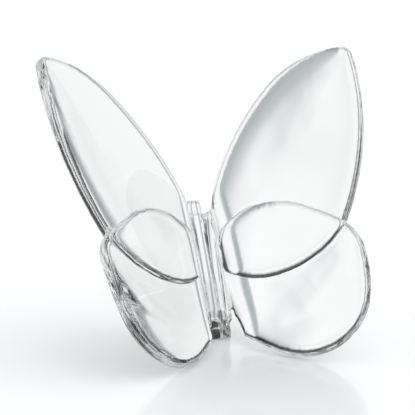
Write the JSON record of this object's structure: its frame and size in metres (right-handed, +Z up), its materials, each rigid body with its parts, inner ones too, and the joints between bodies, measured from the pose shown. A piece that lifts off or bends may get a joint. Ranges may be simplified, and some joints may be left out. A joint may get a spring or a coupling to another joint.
{
  "type": "butterfly ornament",
  "caption": "Clear crystal butterfly ornament with broad open wings held up in a V, standing on its hindwings and a small foot.",
  "frame": {"origin": "middle of the width and depth, at the level of the surface that it stands on", "axes": "+Z up, +X along the wing span towards the viewer's right, -Y towards the open side of the V between the wings"},
  "size_m": [0.076, 0.0502, 0.0638],
  "materials": {
    "crystal": "clear, fire polished faces with cut and polished rims"
  },
  "bodies": {
    "root": {"body": "crystal", "right_forewing": "crystal", "right_hindwing": "crystal", "left_forewing": "crystal", "left_hindwing": "crystal"}
  },
  "joints": []
}
